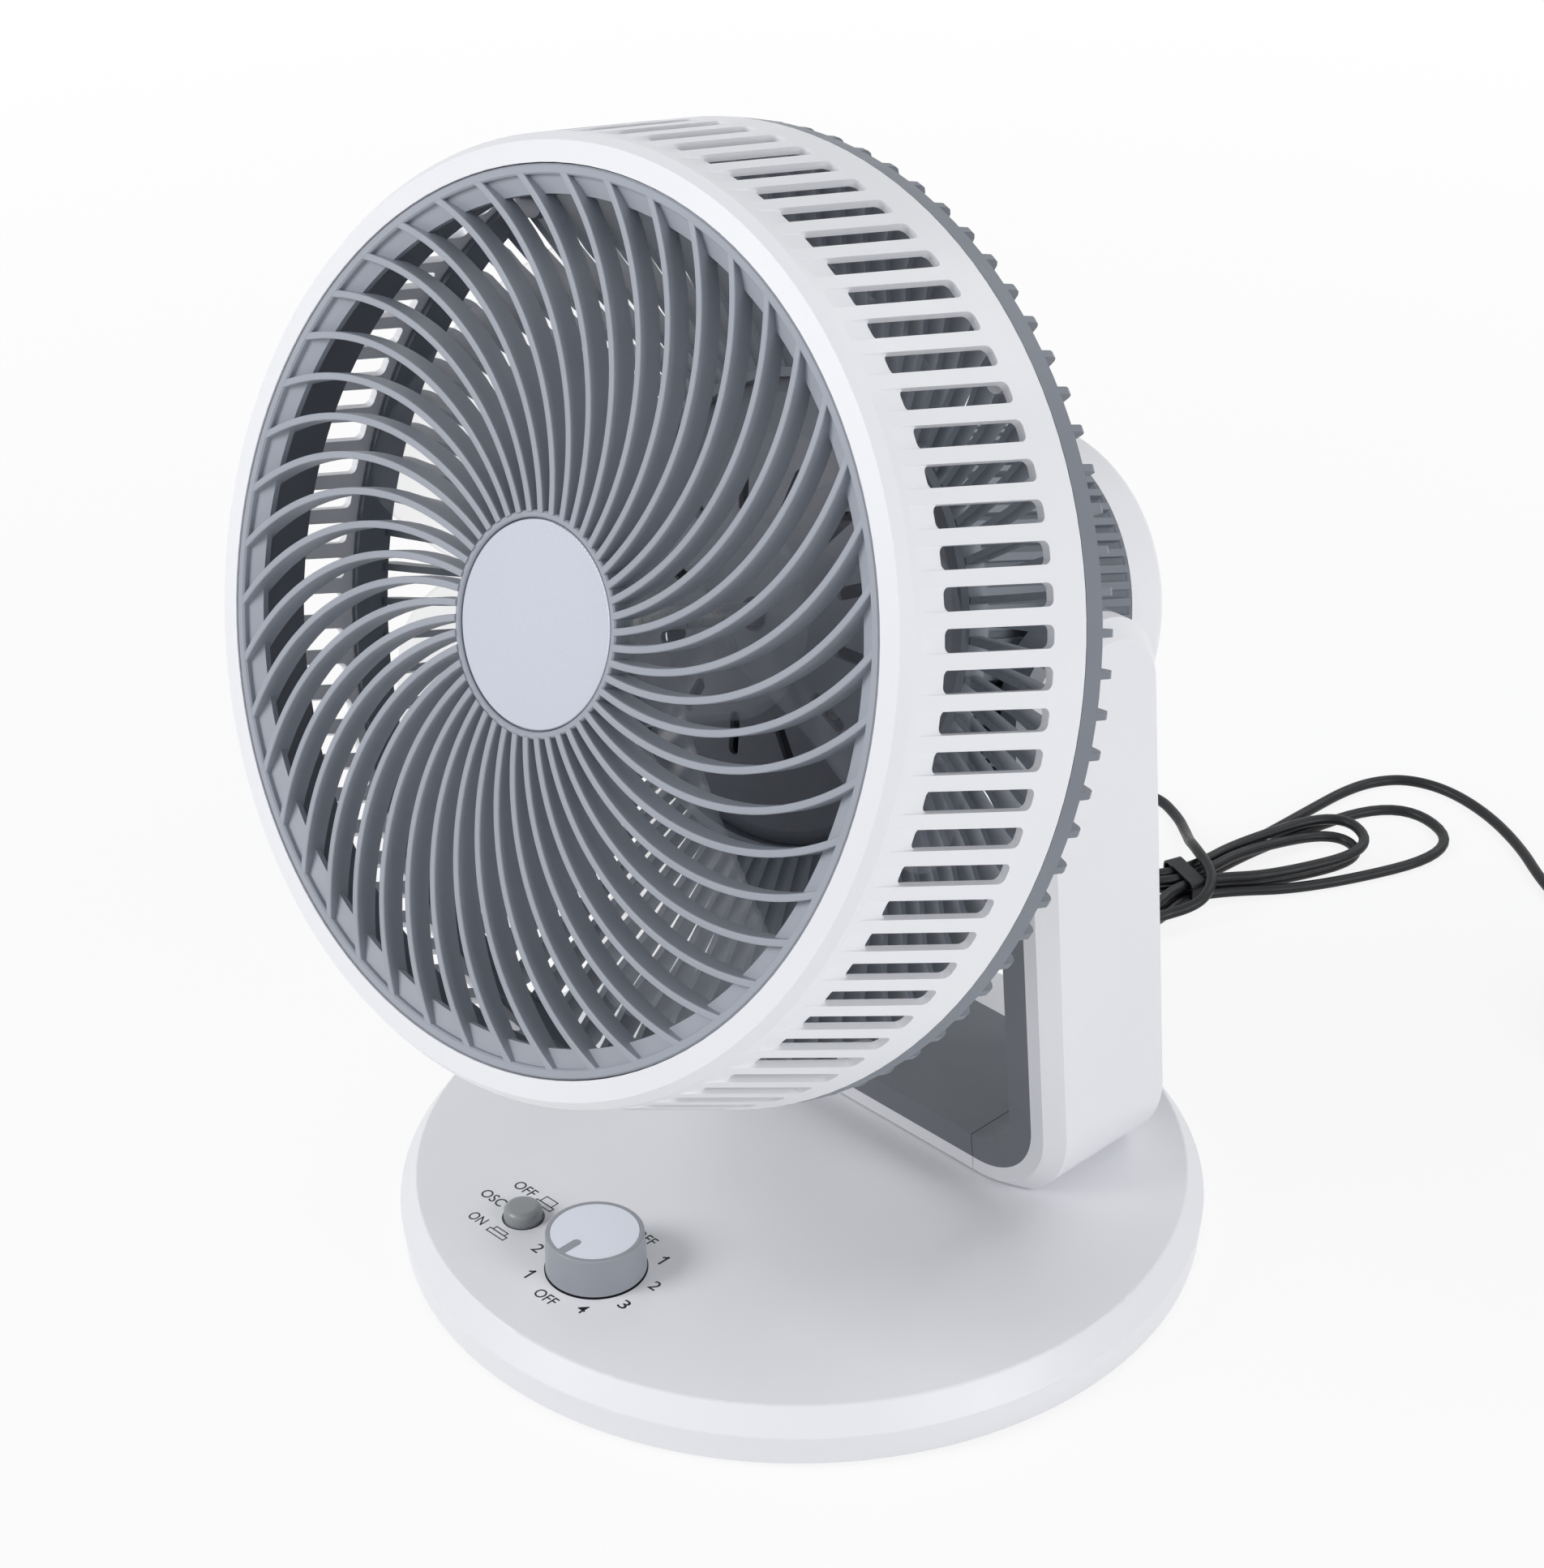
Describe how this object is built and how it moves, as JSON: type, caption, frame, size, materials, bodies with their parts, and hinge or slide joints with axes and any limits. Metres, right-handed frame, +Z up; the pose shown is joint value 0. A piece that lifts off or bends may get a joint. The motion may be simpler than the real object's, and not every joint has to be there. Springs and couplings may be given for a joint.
{
  "type": "air circulator fan",
  "caption": "Round air circulator with slotted hoop, swirling grille and clear impeller, tilting in a U-shaped yoke that swings on a disc base with dial, swing button and cord.",
  "frame": {"origin": "centre of the round base's underside, on the surface the fan stands on", "axes": "+Z up; the fan blows towards -Y; +X is to the right of someone who faces the fan's front; the yoke swings about Z and the head tilts about X"},
  "size_m": [0.3366, 0.5803, 0.4479],
  "materials": {
    "white_plastic": "satin white moulding",
    "grey_plastic": "satin cool grey moulding",
    "dark_grey_plastic": "satin dark grey moulding",
    "badge_silver": "pale silver-grey disc",
    "knob_grey": "smooth mid grey",
    "clear_blade": "clear, slightly smoky",
    "black_rubber": "matt black rubber",
    "cord_black": "satin black sheath",
    "plug_brass": "plain metal",
    "copper_winding": "enamelled copper wire",
    "machine_steel": "plain steel",
    "cast_weight": "dark cast iron",
    "motor_alloy": "die-cast, bare",
    "gear_nylon": "natural nylon"
  },
  "bodies": {
    "base": {"base_shell": "white_plastic", "base_plate": "dark_grey_plastic", "foot_ring": "black_rubber", "base_screws": "machine_steel", "counterweight": "cast_weight", "speed_switch": "dark_grey_plastic", "swing_switch": "dark_grey_plastic", "swing_motor": "motor_alloy", "turntable_washer": "gear_nylon", "terminal_block": "dark_grey_plastic", "run_capacitor": "motor_alloy", "cord_gland": "cord_black", "cord_lead": "cord_black", "cord_hank": "cord_black", "cord_tail": "cord_black", "cord_tie": "cord_black", "plug_body": "cord_black", "plug_pins": "plug_brass"},
    "speed_dial": {"speed_knob": "knob_grey", "knob_insert": "badge_silver", "switch_shaft": "machine_steel"},
    "swing_key": {"swing_button": "knob_grey"},
    "drive_pinion": {"swing_pinion": "gear_nylon"},
    "yoke": {"arm_shell_left": "white_plastic", "arm_shell_right": "white_plastic", "floor_shell": "white_plastic", "arm_liner_left": "grey_plastic", "arm_liner_right": "grey_plastic", "floor_liner": "grey_plastic", "yoke_spindle": "gear_nylon", "swing_gear": "gear_nylon", "spindle_clip": "machine_steel", "floor_screws": "machine_steel", "pivot_pins": "machine_steel", "pivot_washers": "gear_nylon"},
    "head": {"front_hoop": "white_plastic", "front_grille": "grey_plastic", "grille_badge": "badge_silver", "duct_ring": "dark_grey_plastic", "rear_grille": "grey_plastic", "rim_screws": "machine_steel", "motor_dish": "dark_grey_plastic", "motor_housing": "grey_plastic", "motor_cover": "white_plastic", "cover_screws": "machine_steel", "motor_screws": "machine_steel", "front_bell": "motor_alloy", "rear_bell": "motor_alloy", "shaft_bushes": "plug_brass", "stator_core": "machine_steel", "stator_windings": "copper_winding"},
    "fan": {"impeller": "clear_blade", "impeller_nut": "machine_steel", "motor_shaft": "machine_steel", "rotor_core": "machine_steel"}
  },
  "joints": [
    {"name": "oscillate", "type": "hinge", "parent": "base", "child": "yoke", "pos_m": [0, 0.071, 0.024], "axis": [0, 0, 1], "range_deg": [-40, 40]},
    {"name": "pinion_turn", "type": "hinge", "parent": "base", "child": "drive_pinion", "pos_m": [-0.02999, 0.05108, 0.012], "axis": [0, 0, 1], "range_deg": [-125, 125]},
    {"name": "head_tilt", "type": "hinge", "parent": "yoke", "child": "head", "pos_m": [0, 0.055, 0.2332], "axis": [-1, 0, 0], "range_deg": [-20, 70]},
    {"name": "impeller_spin", "type": "hinge", "parent": "head", "child": "fan", "pos_m": [0, 0.05645, 0.23725], "axis": [0, -0.9415, 0.3371], "continuous": true},
    {"name": "dial_turn", "type": "hinge", "parent": "base", "child": "speed_dial", "pos_m": [-0.005, -0.1, 0.03], "axis": [0, 0, 1], "continuous": true},
    {"name": "key_press", "type": "slide", "parent": "base", "child": "swing_key", "axis": [0, 0, -1], "range_m": [0, 0.003], "stiffness_N_per_m": 300, "springref_m": -0.001}
  ],
  "couplings": [
    {"joint": "pinion_turn", "follows": "oscillate", "ratio": -3}
  ]
}
